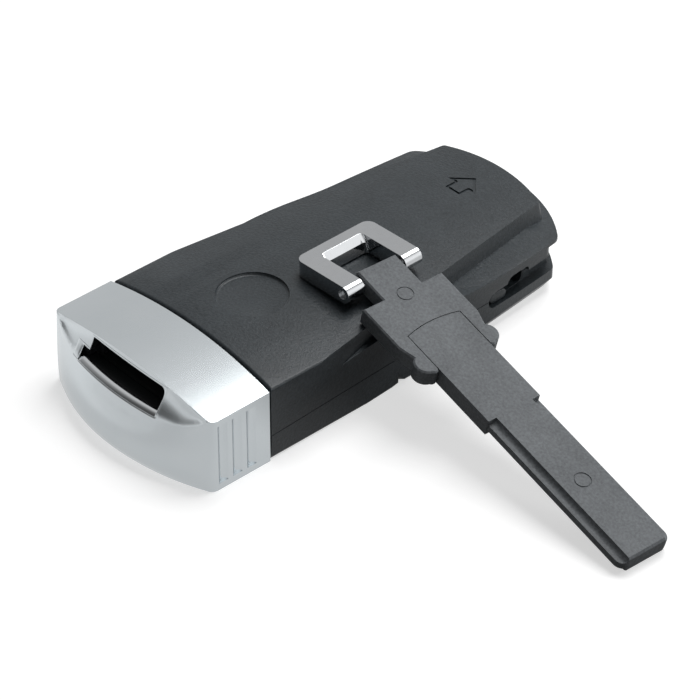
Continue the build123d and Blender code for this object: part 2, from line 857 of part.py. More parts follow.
# Catch beside the slot: body, nose that holds the key behind its lobe, and tab in the notch
catch_face_x = -sleeve_half - 1.5 * fit
catch_back_x = catch_face_x - catch_body
with BuildPart() as release_catch:
    with BuildSketch(Plane.XY.offset(catch_under)):
        Polygon(
            (catch_back_x, along(catch_from)),
            (catch_face_x - catch_tab_width, along(catch_from)),
            (catch_face_x - catch_tab_width, along(catch_from - catch_tab)),
            (catch_face_x, along(catch_from - catch_tab)),
            (catch_face_x, along(catch_nose_from)),
            (catch_nose - slot_half, along(catch_nose_to - catch_nose)),
            (catch_nose - slot_half, along(catch_nose_to)),
            (catch_face_x, along(catch_nose_to)),
            (catch_face_x, along(catch_to)),
            (catch_back_x, along(catch_to)),
            align=None,
        )
    extrude(amount=catch_height)
release_catch.part.label = "release_catch"
export_step(release_catch.part, "parts/release_catch.step")

# Its spring, between its back and the side of the cap
spring_length = catch_back_x + cap_hollow_half - 2 * spring_wire - fit
spring_origin = (-cap_hollow_half + spring_wire + fit / 2, catch_y, catch_z)
with BuildPart() as catch_spring:
    with BuildLine() as spring_path:
        Helix(
            pitch=spring_length / spring_turns,
            height=spring_length,
            radius=spring_radius,
            center=spring_origin,
            direction=(1, 0, 0),
        )
    with BuildSketch(Plane(origin=spring_path.line @ 0, z_dir=spring_path.line % 0)):
        Circle(spring_wire)
    sweep()
catch_spring.part.label = "catch_spring"
export_step(catch_spring.part, "parts/catch_spring.step")

# Circuit board, on posts of the front cover
with BuildPart() as circuit_board:
    with BuildSketch(Plane.XY.offset(board_under)):
        add(board_room.sketch)
        offset(amount=-board_clear)
        with Locations(*front_posts):
            Circle(peg_radius + fit, mode=Mode.SUBTRACT)
    extrude(amount=board_thick)
circuit_board.part.label = "circuit_board"
export_step(circuit_board.part, "parts/circuit_board.step")

# Components on top of the board
with BuildPart() as processor:
    with BuildSketch(Plane.XY.offset(board_top)):
        with Locations((-chip_x, along(processor_y))):
            Rectangle(processor_size, processor_size)
    extrude(amount=chip_height)
    chamfer(processor.faces().sort_by(Axis.Z)[-1].edges(), chip_edge)
processor.part.label = "processor"
export_step(processor.part, "parts/processor.step")

with BuildPart() as radio_chip:
    with BuildSketch(Plane.XY.offset(board_top)):
        with Locations((chip_x, along(radio_y))):
            Rectangle(radio_size, radio_size)
    extrude(amount=chip_height)
    chamfer(radio_chip.faces().sort_by(Axis.Z)[-1].edges(), chip_edge)
radio_chip.part.label = "radio_chip"
export_step(radio_chip.part, "parts/radio_chip.step")

with BuildPart() as crystal:
    with BuildSketch(Plane.XY.offset(board_top)):
        with Locations((chip_x, along(crystal_y))):
            RectangleRounded(crystal_length, crystal_width, crystal_corner)
    extrude(amount=crystal_height)
crystal.part.label = "crystal"
export_step(crystal.part, "parts/crystal.step")

# Coil that answers the car when the cell is flat: a cross of ferrite in a wound frame
with BuildPart() as transponder_coil:
    with BuildSketch(Plane.XY.offset(board_top)):
        with Locations((-chip_x, along(coil_y))):
            RectangleRounded(coil_size, coil_size, coil_corner)
    extrude(amount=coil_height)
    with BuildSketch(Plane.XY.offset(board_top + coil_flange)):
        with Locations((-chip_x, along(coil_y))):
            RectangleRounded(coil_size, coil_size, coil_corner)
            RectangleRounded(
                coil_size - 2 * coil_flange, coil_size - 2 * coil_flange, coil_corner, mode=Mode.SUBTRACT
            )
    extrude(amount=coil_height - 2 * coil_flange, mode=Mode.SUBTRACT)
transponder_coil.part.label = "transponder_coil"
export_step(transponder_coil.part, "parts/transponder_coil.step")

# Three buttons on the underside, each with a flange behind its window
button_names = ["lock_button", "unlock_button", "boot_button"]
for button_name, y in zip(button_names, button_ys):
    with BuildPart() as button:
        with BuildSketch(Plane.XY.offset(button_recess)):
            with Locations((0, y)):
                RectangleRounded(button_width, button_length, button_corner)
        extrude(amount=wall + fit - button_recess)
        chamfer(button.faces().sort_by(Axis.Z)[0].edges(), button_edge)
        with BuildSketch(Plane.XY.offset(wall + fit)):
            with Locations((0, y)):
                RectangleRounded(
                    button_width + 2 * button_flange,
                    button_length + 2 * button_flange,
                    button_corner + button_flange,
                )
        extrude(amount=button_flange_thick)
    button.part.label = button_name
    export_step(button.part, f"parts/{button_name}.step")

# Rubber mat over the buttons, with a low dome at each
with BuildPart() as button_mat:
    with BuildSketch(Plane.XY.offset(mat_under)):
        with Locations((0, mat_y)):
            Rectangle(2 * mat_half, mat_length)
    extrude(amount=mat_thick)
    with BuildSketch(Plane.XY.offset(mat_under + mat_thick)):
        for y in button_ys:
            with Locations((0, y)):
                Circle(dome_radius)
    extrude(amount=dome_height, taper=45)
button_mat.part.label = "button_mat"
export_step(button_mat.part, "parts/button_mat.step")

# Push switches under the board
switch_names = ["lock_switch", "unlock_switch", "boot_switch"]
for switch_name, y in zip(switch_names, button_ys):
    with BuildPart() as switch:
        with BuildSketch(Plane.XY.offset(board_under)):
            with Locations((0, y)):
                Rectangle(switch_size, switch_size)
        extrude(amount=-switch_body)
        with BuildSketch(Plane.XY.offset(board_under - switch_body)):
            with Locations((0, y)):
                Circle(plunger_radius)
        extrude(amount=-plunger_height)
    switch.part.label = switch_name
    export_step(switch.part, f"parts/{switch_name}.step")

# Lamp under the board and the light pipe in the front cover
with BuildPart() as lamp:
    with BuildSketch(Plane.XY.offset(board_under)):
        with Locations((0, along(lamp_y))):
            Rectangle(lamp_length, lamp_width)
    extrude(amount=-lamp_height)
lamp.part.label = "lamp"
export_step(lamp.part, "parts/lamp.step")

with BuildPart() as light_pipe:
    with BuildSketch(Plane.XY.offset(fit / 2)):
        with Locations((0, along(lamp_y))):
            Circle(pipe_radius)
    extrude(amount=wall + fit / 2)
    with BuildSketch(Plane.XY.offset(wall + fit)):
        with Locations((0, along(lamp_y))):
            Circle(pipe_head)
    extrude(amount=board_under - lamp_height - 2 * fit - wall)
light_pipe.part.label = "light_pipe"
export_step(light_pipe.part, "parts/light_pipe.step")

# Coin cell and its two contacts
with BuildPart() as coin_cell:
    with BuildSketch(Plane.XY.offset(cell_under)):
        with Locations((0, along(cell_y))):
            Circle(cell_radius - cell_rim)
    extrude(amount=cell_step)
    with BuildSketch(Plane.XY.offset(cell_under + cell_step)):
        with Locations((0, along(cell_y))):
            Circle(cell_radius)
    extrude(amount=cell_thick - cell_step)
    fillet(coin_cell.faces().sort_by(Axis.Z)[-1].edges(), cell_step)
coin_cell.part.label = "coin_cell"
export_step(coin_cell.part, "parts/coin_cell.step")

with BuildPart() as cell_contact:
    with BuildSketch(Plane.XY.offset(board_top)):
        with Locations((0, along(cell_y))):
            Circle(contact_radius)
            with PolarLocations(contact_slot_radius, contact_slots):
                SlotOverall(contact_slot_length, contact_slot_width, mode=Mode.SUBTRACT)
    extrude(amount=contact_thick)
cell_contact.part.label = "cell_contact"
export_step(cell_contact.part, "parts/cell_contact.step")

clip_top = sleeve_under - fit
clip_reach = cell_radius + clip_gap + clip_thick
with BuildPart() as cell_clip:
    with BuildSketch(Plane.XZ.offset(-along(cell_y))):
        with Locations((0, (board_top + clip_top) / 2)):
            Rectangle(2 * clip_reach, clip_top - board_top)
        with Locations((0, (board_top + clip_top - clip_thick) / 2)):
            Rectangle(
                2 * (clip_reach - clip_thick), clip_top - clip_thick - board_top, mode=Mode.SUBTRACT
            )
    extrude(amount=clip_width / 2, both=True)
    bends = cell_clip.edges().filter_by(Axis.Y).group_by(Axis.Z)[-1]
    fillet(bends, clip_bend)
cell_clip.part.label = "cell_clip"
export_step(cell_clip.part, "parts/cell_clip.step")

# Outline of the emergency key's holder, from its pin
with BuildSketch() as holder_outline:
    with BuildLine():
        Polyline(
            (lobe_to, 0),
            (-neck_back, 0),
            (-neck_back, neck_width / 2),
            (neck_length, neck_width / 2),
            (neck_length, shoulder_width / 2),
            (shoulder_to, shoulder_width / 2),
            (waist_to, waist_width / 2),
        )
        ThreePointArc(
            (waist_to, waist_width / 2),
            ((waist_to + lobe_to) / 2, lobe_width / 2),
            (lobe_to - lobe_end_rise, lobe_width / 2 - lobe_side),
        )
        ThreePointArc(
            (lobe_to - lobe_end_rise, lobe_width / 2 - lobe_side),
            (lobe_to, (root_width + lobe_width - 2 * lobe_side) / 4),
            (lobe_to - lobe_end_rise, root_width / 2),
        )
        Polyline((lobe_to - lobe_end_rise, root_width / 2), (lobe_to - lobe_end_rise, 0), (lobe_to, 0))
    make_face()
    mirror(about=Plane.XZ)

# Outline of the blade, from the arched end of its root to its tip
with BuildSketch() as blade_outline:
    with BuildLine():
        ThreePointArc(
            (root_from, -root_width / 2), (root_from - root_arch, 0), (root_from, root_width / 2)
        )
        Polyline(
            (root_from, root_width / 2),
            (step_at, root_width / 2),
            (step_at, blade_width / 2),
            (key_length, blade_width / 2),
            (key_length, -blade_width / 2),
            (step_at, -blade_width / 2),
            (step_at, -root_width / 2),
            (root_from, -root_width / 2),
        )
    make_face()
    tip = blade_outline.vertices().group_by(Axis.X)[-1]
    fillet(tip, tip_corner)

with BuildPart() as key_holder:
    with BuildSketch(key_plane):
        add(holder_outline.sketch)
    extrude(amount=key_thick / 2, both=True)
    chamfer(key_holder.faces().filter_by(key_plane).edges(), key_edge)
    with BuildSketch(key_plane):
        add(blade_outline.sketch)
        offset(amount=root_groove)
    extrude(amount=key_thick, both=True, mode=Mode.SUBTRACT)
    with BuildSketch(Plane(origin=key_plane.origin, x_dir=key_plane.x_dir, z_dir=key_plane.y_dir)):
        Circle(neck_bore)
    extrude(amount=neck_width, both=True, mode=Mode.SUBTRACT)
    with BuildSketch(key_top):
        with Locations((mark_places[0], 0)):
            Circle(mark_radius)
            Circle(mark_radius - mark_line, mode=Mode.SUBTRACT)
    extrude(amount=-mark_depth, mode=Mode.SUBTRACT)
key_holder.part.label = "key_holder"
export_step(key_holder.part, "parts/key_holder.step")

# Section of the blade beyond its step: a rib over and under a thinner plate
cove = (key_thick - blade_base) / 2
cove_middle = cove * (1 - cos(radians(45)))
with BuildSketch() as blade_section:
    with BuildLine():
        Line((0, key_thick / 2), (rib_top_width / 2, key_thick / 2))
        ThreePointArc(
            (rib_top_width / 2, key_thick / 2),
            (rib_top_width / 2 + cove_middle, blade_base / 2 + cove_middle),
            (rib_top_width / 2 + cove, blade_base / 2),
        )
        Polyline(
            (rib_top_width / 2 + cove, blade_base / 2),
            (blade_width / 2, blade_base / 2),
            (blade_width / 2, 0),
            (0, 0),
            (0, key_thick / 2),
        )
    make_face()
    mirror(about=Plane.XZ)
    mirror(about=Plane.YZ)

blade_start = Plane(
    origin=key_plane.from_local_coords((step_at, 0, 0)), x_dir=key_plane.y_dir, z_dir=key_plane.x_dir
)
with BuildPart() as key_blade:
    with BuildSketch(key_plane):
        add(blade_outline.sketch)
    extrude(amount=key_thick / 2, both=True)
    with BuildSketch(blade_start):
        Rectangle(2 * root_width, 2 * key_thick)
        add(blade_section.sketch, mode=Mode.SUBTRACT)
    extrude(amount=key_length, mode=Mode.SUBTRACT)
    with BuildSketch(key_top):
        with Locations((mark_places[1], 0)):
            Circle(mark_radius)
            Circle(mark_radius - mark_line, mode=Mode.SUBTRACT)
    extrude(amount=-mark_depth, mode=Mode.SUBTRACT)
    # chamfered end
    end_edges = key_blade.edges().filter_by(
        lambda e: abs(key_plane.to_local_coords(e.center()).Z) > key_thick / 2 - 0.01
        and key_plane.to_local_coords(e.position_at(0)).X > key_length - tip_zone
        and key_plane.to_local_coords(e.position_at(1)).X > key_length - tip_zone
    )
    chamfer(end_edges, tip_edge)
key_blade.part.label = "key_blade"
export_step(key_blade.part, "parts/key_blade.step")

# Bail: it lies back over the fob, its cross bar on the crown, and turns on the pin
bail_drop = pin_z - bail_thick / 2 - bail_lift - crown_z(0)
bail_slope = asin(bail_drop / bail_length)
bail_turn = radians(bail_yaw)
bail_plane = Plane(
    origin=key_plane.origin,
    x_dir=(-cos(bail_slope) * cos(bail_turn), cos(bail_slope) * sin(bail_turn), -sin(bail_slope)),
    z_dir=(-sin(bail_slope) * cos(bail_turn), sin(bail_slope) * sin(bail_turn), cos(bail_slope)),
)
pin_plane = Plane(origin=bail_plane.origin, x_dir=bail_plane.x_dir, z_dir=bail_plane.y_dir)
with BuildSketch() as bail_outline:
    with Locations((bail_length / 2, 0)):
        Rectangle(bail_length, bail_width)
    fillet(bail_outline.vertices().group_by(Axis.X)[-1], bail_corner)
    with BuildSketch(mode=Mode.PRIVATE) as bail_opening:
        with Locations(((bail_length - bail_bar) / 2, 0)):
            Rectangle(bail_length - bail_bar, bail_width - 2 * bail_arm)
        fillet(bail_opening.vertices().group_by(Axis.X)[-1], bail_inner_corner)
    add(bail_opening.sketch, mode=Mode.SUBTRACT)

with BuildPart() as bail:
    with BuildSketch(bail_plane):
        add(bail_outline.sketch)
    extrude(amount=bail_thick / 2, both=True)
    with BuildSketch(pin_plane):
        Circle(bail_thick / 2)
    extrude(amount=bail_width / 2, both=True)
    with BuildSketch(pin_plane):
        Circle(bail_thick)
    extrude(amount=bail_width / 2 - bail_arm, both=True, mode=Mode.SUBTRACT)
    with BuildSketch(pin_plane):
        Circle(pin_radius + pin_clear)
    extrude(amount=bail_width, both=True, mode=Mode.SUBTRACT)
bail.part.label = "bail"
export_step(bail.part, "parts/bail.step")

with BuildPart() as bail_pin:
    with BuildSketch(pin_plane):
        Circle(pin_radius)
    extrude(amount=bail_width / 2 - pin_recess, both=True)
bail_pin.part.label = "bail_pin"
export_step(bail_pin.part, "parts/bail_pin.step")
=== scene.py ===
import math

import bmesh
import bpy
import numpy as np
from mathutils import Matrix, Vector


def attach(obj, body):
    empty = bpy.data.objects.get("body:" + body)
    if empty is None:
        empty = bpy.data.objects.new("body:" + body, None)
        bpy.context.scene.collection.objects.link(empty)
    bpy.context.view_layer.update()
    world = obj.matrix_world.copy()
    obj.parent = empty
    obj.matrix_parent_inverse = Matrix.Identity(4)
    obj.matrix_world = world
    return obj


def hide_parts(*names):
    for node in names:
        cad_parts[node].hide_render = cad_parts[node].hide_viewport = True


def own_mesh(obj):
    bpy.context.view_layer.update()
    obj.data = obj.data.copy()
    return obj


# A car key fob with its emergency key pulled out and laid over it. Everything is in metres, in
# the frame of the fob: X across it, +Y towards the end that goes into the dashboard, +Z up.
# Sizes in mm say so, and are multiplied by MM where they are used.

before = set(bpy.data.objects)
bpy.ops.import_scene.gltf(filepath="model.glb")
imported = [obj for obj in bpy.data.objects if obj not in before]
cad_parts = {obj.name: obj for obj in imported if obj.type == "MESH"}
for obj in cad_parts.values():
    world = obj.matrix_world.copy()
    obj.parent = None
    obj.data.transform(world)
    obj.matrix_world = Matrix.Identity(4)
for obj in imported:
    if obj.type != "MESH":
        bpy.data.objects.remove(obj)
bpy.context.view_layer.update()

MM = 0.001

# Camera, at the photograph's angle: from the front right and above, with a long lens.
IMAGE_WIDTH = 700       # pixels
LENS_PIXELS = 3000      # focal length in pixels
SENSOR_WIDTH = 36       # mm
CAMERA_AZIMUTH = 47.590    # degrees
CAMERA_ELEVATION = 37.628  # degrees
CAMERA_ROLL = 0.282        # degrees
CAMERA_PLACE = (0.28740, -0.25454, 0.29323)
CAMERA_NEAR = 0.01         # nearest that it sees

# Values between which a noise texture mostly lies.
NOISE_LOW, NOISE_HIGH = 0.3, 0.7

# Copies of CAD nodes, and new surfaces.
MERGE_DISTANCE = 0.5e-6    # metres within which vertices of neighbouring faces become one
FLAT_ANGLE = 0.4           # degrees up to which neighbouring triangles become one face
SEAM_DISTANCE = 1e-7       # metres within which vertices of a new surface become one

# Front of the end cap, in mm: a bowed chin below a facet that leans back over the slot.
CAP_FRONT = -37            # y of the front where it meets the cap's sides
CAP_HALF_WIDTH = 19
CHIN_BOW = (-8.7552e-05, 0.00777787, -0.168856, 0.868381, 4.46032)  # powers of z, from the fourth
CAP_TOP = 14.78            # height of the top edge at its middle
TOP_FALL = 236             # the top edge falls by the square of x over this
CREST_Z = 10.45            # height of the crest, where facet and chin meet
CREST_LEVEL = 12.5         # the crest is level as far out as this,
CREST_CLIMB = 5.85         # and over this width
CREST_GAIN = 2.7           # climbs by this much
FACET_HALF_WIDTH = 18.35
FACET_SCOOP = 0.34         # depth to which the facet is hollowed
FACET_LEAST = 0.25         # least height taken for the facet, near its ends
CREST_ROUND = 0.12         # softness of the crest

# Part of the front that is moved onto the formula, in mm.
SCOOP_Y = -36.99           # vertices further out than this are on the front
SCOOP_CUT_Z = 9.4          # faces above this height are cut into the grid
SCOOP_Z = 9.65             # vertices above this height are moved
SCOOP_X = 18.3             # and those nearer to the middle than this
SCOOP_BLEND = 2.2          # width over which the move fades out towards the sides
SCOOP_GRID = ((0, np.arange(-18.3, 18.4, 0.6)), (2, np.arange(9.7, 14.9, 0.2)))  # axis, planes
CUT_DISTANCE = 1e-6        # metres within which a cut takes a vertex that is there

# Walls of the slot that are painted near-black as painted shade of the slot's inside, in mm.
SLOT_SHADE_X = (-11.7, 8.75)
SLOT_SHADE_Z = (9.85, 14.1)
SLOT_SHADE_Y = -42
UPRIGHT_WALL = 0.95        # least sideways part of such a wall's normal
LEVEL_WALL = 0.98          # least upward part of the normal of its floor or roof

# Lip under the slot, in mm.
LIP_X = (-10.45, 8.72)
LIP_Z = 9.72               # height of its foot
LIP_DEPTH = 1.5
LIP_RISE = 0.75
LIP_QUICK = 1.3            # it is at full height at one over this of its depth
LIP_BACK = 0.96            # share of its depth past which it drops
LIP_BACK_RISE = 0.1        # to this height
LIP_PROUD = 0.05           # it stands this far in front of the chin
LIP_LEFT = -10.5           # its left end is a quarter of an ellipse that starts here
LIP_END = 0.9              # and is this long
LIP_POINTS = (90, 21)      # along it, and across it

# Skin round the slot's mouth, in mm.
RIM_PROUD = 0.012          # it stands this far in front of the cap
RIM_DEPTH = 0.5
RIM_EDGE = 0.03            # its edges fall back by this much
RIM_CURVE_STEPS = 9        # points on each rounded corner
RIM_FINENESS = 8           # points for each point of the outline

# Pads in the side grooves, in mm.
PAD_Y = 24.45              # middle
PAD_Z = 5.45
PAD_RADIUS = 0.95
PAD_HALF_SPAN = 0.95       # from its middle to the middle of each half circle
PAD_POINTS = 40

# Inner face of the bail's cross bar, which leans, with the bail lying back. In mm and degrees.
PIN_PLACE = (11.4, 3.7)    # x and y of the bail's pin
BAIL_YAW = -0.8
BAR_INNER = (-9.3, -8.0)   # the inner face lies between these distances from the pin
BAR_CUT_Z = 16.9           # it is cut across at this height
BAR_TOP_Z = 17.0           # vertices below this height are moved
BAR_MIDDLE_Z = 16.0
BAR_SHIFT_HIGH = 1.05      # those over its middle by this much
BAR_SHIFT_LOW = 1.35       # and those under it by this much

# Width of the rounding along edges, in mm, and the least angle in degrees that is rounded.
CAP_EDGE = 0.22
SHELL_EDGE = 0.2
KEY_EDGE = 0.10
BAIL_EDGE = 0.35
EDGE_SEGMENTS = 3          # faces across each rounding
EDGE_ANGLE = 28

# Studio lamps: place, side of the square and watts.
LAMP_AIM = (0.01, 0.0, 0.01)
LAMPS = {
    "key_light": ((-0.03, 0.27, 0.66), 0.44, 4.2),
    "far_light": ((0.36, 0.60, 0.26), 0.24, 1.8),
}
ROOM_LEVEL = 0.1           # light from the room itself, beside what reflections see
SWEEP_SIZE = 4
SWEEP_DROP = 0.02          # mm that the paper sweep lies under the fob, so that they don't coincide
SWEEP_LIFT = 0.58          # light that the camera sees from the sweep itself


def hex_colour(code):
    """Linear red, green, blue and alpha of an sRGB colour written in hex."""
    values = [int(code[i:i + 2], 16) / 255 for i in (1, 3, 5)]
    return [v / 12.92 if v <= 0.04045 else ((v + 0.055) / 1.055) ** 2.4 for v in values] + [1.0]


def empty_tree(owner):
    """Node tree of a material or a world, with nothing in it."""
    owner.use_nodes = True
    owner.node_tree.nodes.clear()
    return owner.node_tree


def add_node(tree, kind, settings=None, inputs=None):
    """Adds one node; each input, named or numbered, gets a constant or a link from a socket."""
    node = tree.nodes.new(kind)
    for key, value in (settings or {}).items():
        setattr(node, key, value)
    for key, value in (inputs or {}).items():
        if isinstance(value, bpy.types.NodeSocket):
            tree.links.new(value, node.inputs[key])
        else:
            node.inputs[key].default_value = value
    return node


def grained(name, dark, light, grain_mm, roughness, metallic=0.0, bump_mm=0.01, mottle_mm=6.0,
            speckle=0.8, rough_spread=0.04, specular=0.5):
    """Moulded or blasted finish: fine grain in bump and tone over a slow mottle of the colour."""
    material = bpy.data.materials.new(name)
    tree = empty_tree(material)
    place = add_node(tree, "ShaderNodeTexCoord").outputs["Object"]
    grain = add_node(tree, "ShaderNodeTexNoise", inputs={
        "Vector": place, "Scale": 1 / (grain_mm * MM), "Detail": 3.0, "Roughness": 0.6})
    mottle = add_node(tree, "ShaderNodeTexNoise", inputs={
        "Vector": place, "Scale": 1 / (mottle_mm * MM), "Detail": 2.0})
    mixed = add_node(tree, "ShaderNodeMath", {"operation": "MULTIPLY_ADD"},
                     {0: grain.outputs["Fac"], 1: speckle, 2: mottle.outputs["Fac"]})
    shade = add_node(tree, "ShaderNodeMapRange", inputs={
        "Value": mixed.outputs[0],
        "From Min": NOISE_LOW + NOISE_LOW * speckle,
        "From Max": NOISE_HIGH + NOISE_HIGH * speckle})
    tone = add_node(tree, "ShaderNodeMix", {"data_type": "RGBA"},
                    {0: shade.outputs[0], 6: hex_colour(dark), 7: hex_colour(light)})
    gloss = add_node(tree, "ShaderNodeMapRange", inputs={
        "Value": grain.outputs["Fac"], "From Min": NOISE_LOW, "From Max": NOISE_HIGH,
        "To Min": roughness - rough_spread, "To Max": roughness + rough_spread})
    bump = add_node(tree, "ShaderNodeBump", inputs={
        "Height": grain.outputs["Fac"], "Strength": 1.0, "Distance": bump_mm * MM})
    shader = add_node(tree, "ShaderNodeBsdfPrincipled", inputs={
        "Base Color": tone.outputs[2], "Roughness": gloss.outputs[0], "Normal": bump.outputs[0],
        "Metallic": metallic, "Specular IOR Level": specular})
    add_node(tree, "ShaderNodeOutputMaterial", inputs={"Surface": shader.outputs[0]})
    return material


# Satin chrome on ABS, bead-blasted tool: pale, even, with a broad soft sheen.
SATIN_CHROME = grained("satin_chrome_plated_abs", "#c2c8cb", "#c6cbce", 0.25, 0.25,
                       metallic=1.0, bump_mm=0.0002, rough_spread=0.01)
# The same plating where the mouth of the slot is polished.
POLISHED_CHROME = grained("polished_chrome_plated_abs", "#c9ccce", "#cdcfd1", 0.6, 0.15,
                          metallic=1.0, bump_mm=0.0002, rough_spread=0.01)
# Inside of the slot: near-black, painted shade of the slot's deep walls.
SLOT_SHADE_BLACK = grained("slot_painted_shade_black", "#0c0e0f", "#111415", 0.3, 0.6,
                     specular=0.2, bump_mm=0.006)
# Black ABS from a spark-eroded tool: charcoal under a studio light, with a fine matt grain.
BLACK_ABS = grained("spark_eroded_black_abs", "#1e2326", "#383e42", 0.42, 0.35,
                    specular=0.28, bump_mm=0.05, mottle_mm=9.0, speckle=2.2)
# Sintered steel of the emergency key, nickel plated and tumbled: mid grey with a dry fine grain.
SINTERED_STEEL = grained("tumbled_sintered_steel", "#4a4d50", "#74787b", 0.45, 0.55,
                         specular=0.25, bump_mm=0.03, speckle=2.5)
# Bright chrome on the zinc bail: nearly a mirror.
BRIGHT_CHROME = grained("bright_chrome_plated_zinc", "#b4b6b8", "#babcbe", 1.2, 0.09,
                        metallic=1.0, bump_mm=0.0003, rough_spread=0.01)
# Turned stainless steel of the bail's pin.
PIN_STEEL = grained("turned_stainless_steel", "#a4a6a8", "#b0b2b4", 0.2, 0.28,
                    metallic=1.0, bump_mm=0.002)
# Acetal of the release catch: dark, slightly waxy.
DARK_ACETAL = grained("moulded_black_acetal", "#2a2d30", "#33373a", 0.4, 0.38, bump_mm=0.006)
# Glass-filled nylon of the guide tray: nearly black and matt.
BLACK_NYLON = grained("glass_filled_black_nylon", "#101315", "#171a1c", 0.3, 0.55)
# Silicone rubber of the buttons, with a soft touch.
BUTTON_RUBBER = grained("soft_touch_silicone", "#2d3033", "#35393c", 0.5, 0.62)
# Clear silicone of the mat behind the buttons.
MAT_RUBBER = grained("clear_grey_silicone_mat", "#7d8285", "#8a8f92", 0.6, 0.5)
# Drawn wire of the catch's spring.
SPRING_STEEL = grained("drawn_spring_steel", "#8d9093", "#9da0a3", 0.2, 0.25,
                       metallic=1.0, bump_mm=0.002)
# Circuit board under its green mask.
SOLDER_MASK = grained("green_solder_mask_on_fr4", "#12402a", "#1b5236", 0.5, 0.3)
# Moulded epoxy of the chips.
CHIP_EPOXY = grained("black_epoxy_chip", "#1b1c1e", "#26282a", 0.15, 0.5, bump_mm=0.006)
# Nickel-plated can of the crystal.
CRYSTAL_CAN = grained("nickel_plated_crystal_can", "#b5b3ab", "#c2c0b8", 0.3, 0.25,
                      metallic=1.0, bump_mm=0.002)
# Enamelled copper wire of the transponder's coil.
COIL_WIRE = grained("enamelled_copper_winding", "#7a3d1f", "#9a5630", 0.15, 0.35,
                    metallic=0.6, bump_mm=0.02)
# White body of a tactile switch.
SWITCH_PLASTIC = grained("moulded_white_switch", "#c9cbc8", "#d7d9d6", 0.3, 0.45, bump_mm=0.004)
# Tinted resin of the lamp.
LAMP_RESIN = grained("red_lamp_resin", "#8c1616", "#a82020", 0.3, 0.2, bump_mm=0.002)
# Frosted polycarbonate that carries the lamp's light outwards.
LIGHT_PIPE = grained("frosted_polycarbonate", "#c9ced0", "#d8dcde", 0.3, 0.3, bump_mm=0.004)
# Nickel-plated steel of the coin cell.
CELL_STEEL = grained("nickel_plated_cell_steel", "#b9bab8", "#c8c9c7", 0.4, 0.22,
                     metallic=1.0, bump_mm=0.003)
# Tinned spring steel of the cell's contacts.
TINNED_STEEL = grained("tinned_spring_contact", "#a9aaa8", "#b8b9b7", 0.3, 0.3,
                       metallic=1.0, bump_mm=0.003)


def bow(z):
    """How far the chin stands out at its middle, in mm, at height z: a quartic in the height."""
    return np.polyval(CHIN_BOW, z)


def front_y(x, z):
    """Front of the cap in mm. The chin is a circular arc across the cap, whose rise is the bow at
    that height. The facet hangs between the chin's crest and the cap's top edge as a chord
    scooped by a parabola. The smaller of the two, rounded where they meet, is how far the front
    stands out."""
    x = np.clip(np.abs(x), 0, FACET_HALF_WIDTH)
    top = CAP_TOP - x * x / TOP_FALL
    crest = CREST_Z + CREST_GAIN * (np.clip(x - CREST_LEVEL, 0, None) / CREST_CLIMB) ** 1.5
    stands = []
    for level in (z, crest):
        rise = bow(level)
        radius = (CAP_HALF_WIDTH ** 2 + rise * rise) / (2 * rise)
        stands.append(np.sqrt(radius * radius - x * x) - radius + rise)
    chin, foot = stands
    along = (z - crest) / np.maximum(top - crest, FACET_LEAST)
    facet = foot * (1 - along) - FACET_SCOOP * 4 * along * (1 - along)
    apart = chin - facet
    stand = (chin + facet) / 2 - np.sqrt(apart ** 2 / 4 + CREST_ROUND ** 2)
    stand = stand + CREST_ROUND * np.exp(-apart ** 2 / 2)
    return CAP_FRONT - np.maximum(stand, 0)


def scoop_front(work):
    """Cuts the cap's front into a fine grid and moves it onto front_y: the facet becomes hollow."""
    for axis, steps in SCOOP_GRID:
        for step in steps:
            faces = [f for f in work.faces
                     if all(v.co.y < SCOOP_Y * MM and v.co.z > SCOOP_CUT_Z * MM for v in f.verts)]
            edges = list({e for f in faces for e in f.edges})
            verts = list({v for f in faces for v in f.verts})
            place, normal = [0, 0, 0], [0, 0, 0]
            place[axis], normal[axis] = step * MM, 1
            bmesh.ops.bisect_plane(work, geom=faces + edges + verts, plane_co=place,
                                   plane_no=normal, dist=CUT_DISTANCE)
    moved = [v for v in work.verts
             if v.co.y < SCOOP_Y * MM and v.co.z > SCOOP_Z * MM and abs(v.co.x) < SCOOP_X * MM]
    x, y, z = np.array([v.co for v in moved]).T / MM
    share = np.clip((SCOOP_X - np.abs(x)) / SCOOP_BLEND, 0, 1)
    share = share * share * (3 - 2 * share)
    for vertex, place in zip(moved, (y * (1 - share) + front_y(x, z) * share) * MM):
        vertex.co.y = place


def slant_bar(work):
    """Leans the inner face of the bail's cross bar, so that it faces upwards."""
    bmesh.ops.bisect_plane(work, geom=work.faces[:] + work.edges[:] + work.verts[:],
                           plane_co=(0, 0, BAR_CUT_Z * MM), plane_no=(0, 0, 1),
                           dist=CUT_DISTANCE)
    yaw = math.radians(BAIL_YAW)
    for vertex in work.verts:
        along = ((vertex.co.x - PIN_PLACE[0] * MM) * math.cos(yaw)
                 - (vertex.co.y - PIN_PLACE[1] * MM) * math.sin(yaw))
        if BAR_INNER[0] * MM < along < BAR_INNER[1] * MM and vertex.co.z < BAR_TOP_Z * MM:
            high = vertex.co.z > BAR_MIDDLE_Z * MM
            vertex.co.x += (BAR_SHIFT_HIGH if high else BAR_SHIFT_LOW) * MM


def wear(piece, material):
    """Gives every face of a piece one material."""
    piece.data.materials.clear()
    piece.data.materials.append(material)
    piece.data.polygons.foreach_set("material_index",
                                    np.zeros(len(piece.data.polygons), np.int32))


def smooth(mesh):
    """Shades every face of a mesh smooth."""
    mesh.polygons.foreach_set("use_smooth", np.ones(len(mesh.polygons), bool))


